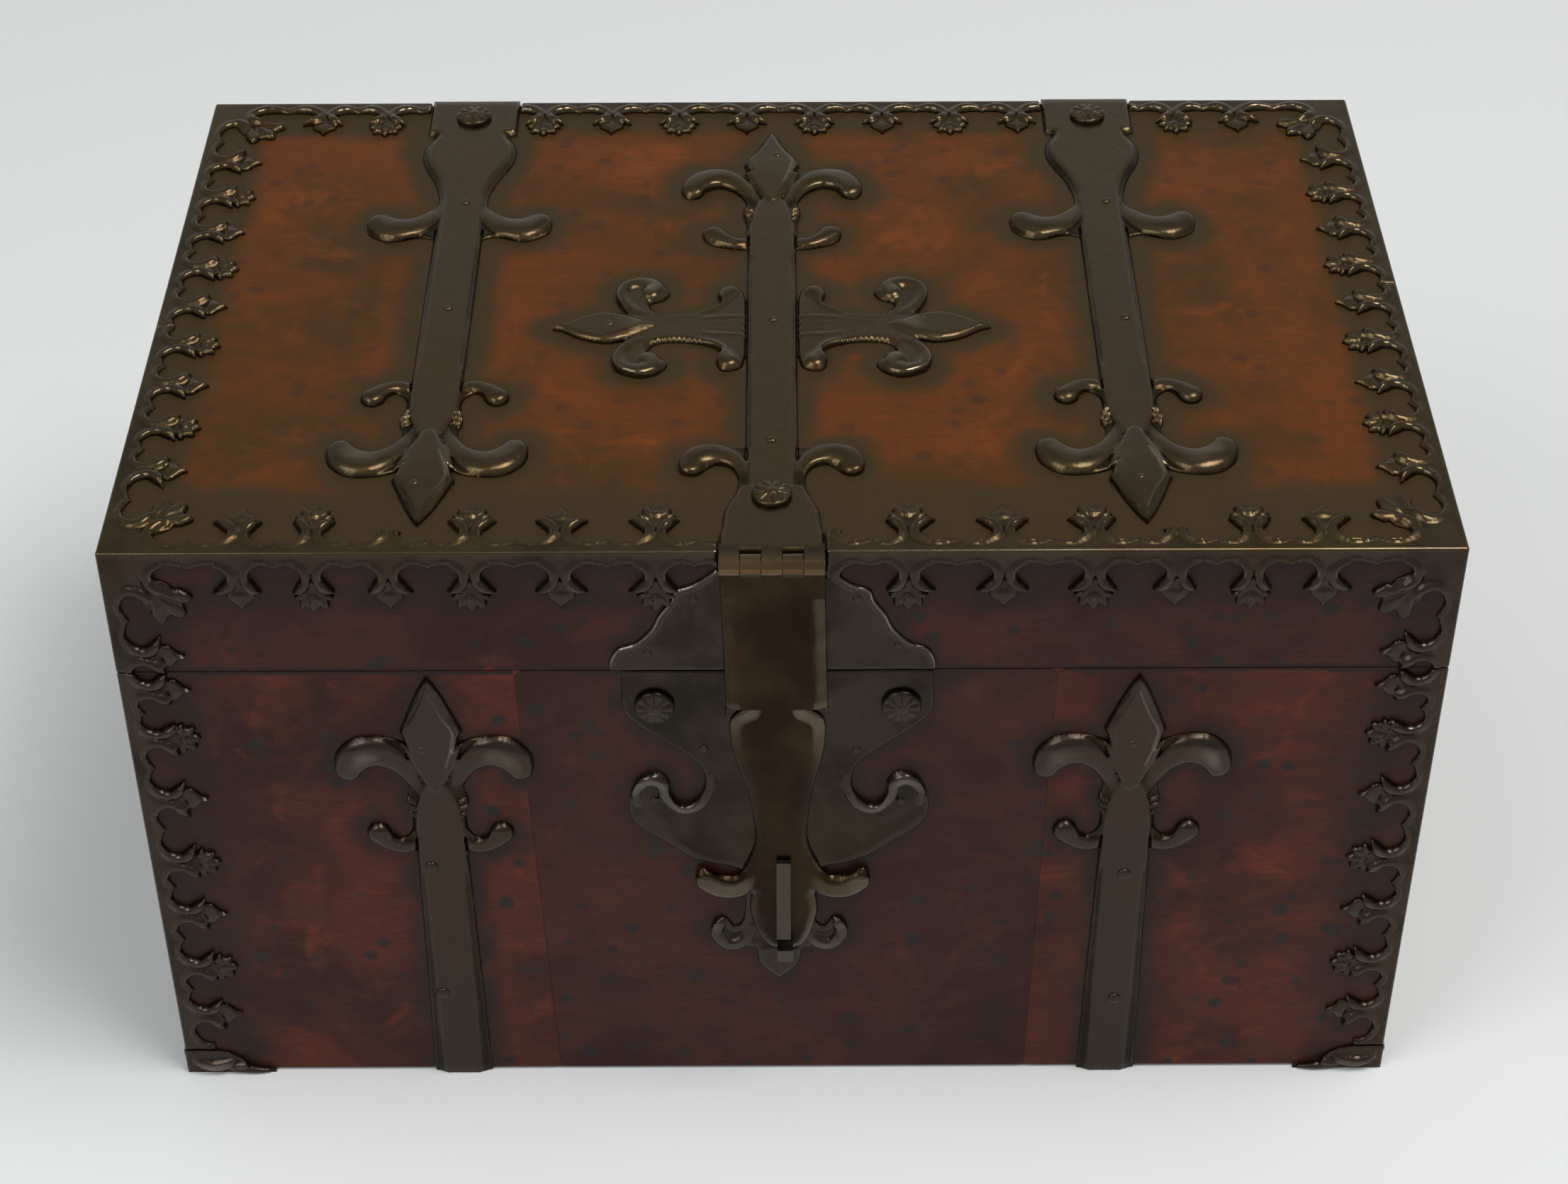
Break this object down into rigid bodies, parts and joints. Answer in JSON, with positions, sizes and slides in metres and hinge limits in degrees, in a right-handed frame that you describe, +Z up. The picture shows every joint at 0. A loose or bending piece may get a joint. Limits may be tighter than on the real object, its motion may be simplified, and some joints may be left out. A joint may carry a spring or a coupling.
{
  "type": "strongbox",
  "caption": "Rectangular veneered wooden strongbox bound in pierced bronze borders, with a strap-hinged lid, a hasp over a sunk lock and swinging end handles.",
  "frame": {"origin": "middle of the footprint, at the level it stands on", "axes": "+Z up, the hasp side faces -Y, +X to the right seen from the front"},
  "size_m": [0.4834, 0.3136, 0.2609],
  "materials": {
    "bronze": "patinated bronze, semi-gloss with rubbed edges",
    "dark_bronze": "dark patinated bronze, semi-gloss",
    "steel": "plain filed steel",
    "veneer": "dark red-brown veneer, French polished",
    "lid_veneer": "warm red-brown veneer, French polished",
    "plain_wood": "plain unpolished softwood"
  },
  "bodies": {
    "case": {"body_board_back": "veneer", "body_board_left": "veneer", "body_board_front": "veneer", "body_board_right": "veneer", "body_board_bottom": "plain_wood", "corner_binding_front_left": "bronze", "foot_front_left": "bronze", "corner_binding_front_right": "bronze", "foot_front_right": "bronze", "corner_binding_back_left": "bronze", "foot_back_left": "bronze", "corner_binding_back_right": "bronze", "foot_back_right": "bronze", "front_strap_left": "bronze", "rear_leaf_left": "bronze", "lid_pin_left": "steel", "handle_mount_left": "bronze", "lock_rosette_left": "bronze", "front_strap_right": "bronze", "rear_leaf_right": "bronze", "lid_pin_right": "steel", "handle_mount_right": "bronze", "lock_rosette_right": "bronze", "lock_plate": "bronze", "lock_case": "steel", "key_post": "steel"},
    "lid": {"lid_board_back": "veneer", "lid_board_left": "veneer", "lid_board_front": "veneer", "lid_board_right": "veneer", "lid_panel": "lid_veneer", "lid_border_front_left": "bronze", "lid_border_front_right": "bronze", "lid_border_back_left": "bronze", "lid_border_back_right": "bronze", "lid_border_back_middle": "bronze", "lid_strap_left": "bronze", "cross_arm_left": "bronze", "lid_rosette_left": "bronze", "lid_strap_right": "bronze", "cross_arm_right": "bronze", "lid_rosette_right": "bronze", "lid_rosette_middle": "bronze", "centre_strap": "bronze", "striker_plate": "bronze", "hasp_pin": "steel"},
    "hasp": {"hasp": "dark_bronze", "hasp_staple": "dark_bronze", "hasp_knob": "dark_bronze"},
    "bolt": {"lock_bolt": "steel"},
    "bail_left": {"bail_left": "bronze"},
    "bail_right": {"bail_right": "bronze"}
  },
  "joints": [
    {"name": "lid_hinge", "type": "hinge", "parent": "case", "child": "lid", "pos_m": [0, 0.14985, 0.203], "axis": [-1, 0, 0], "range_deg": [0, 105]},
    {"name": "hasp_hinge", "type": "hinge", "parent": "lid", "child": "hasp", "pos_m": [-0.0035, -0.15115, 0.25355], "axis": [-1, 0, 0], "range_deg": [0, 225]},
    {"name": "bolt_slide", "type": "slide", "parent": "case", "child": "bolt", "axis": [-1, 0, 0], "range_m": [0, 0.0058]},
    {"name": "bail_left_hinge", "type": "hinge", "parent": "case", "child": "bail_left", "pos_m": [-0.237, 0, 0.138], "axis": [0, 1, 0], "range_deg": [-4, 175]},
    {"name": "bail_right_hinge", "type": "hinge", "parent": "case", "child": "bail_right", "pos_m": [0.237, 0, 0.138], "axis": [0, -1, 0], "range_deg": [-4, 175]}
  ]
}
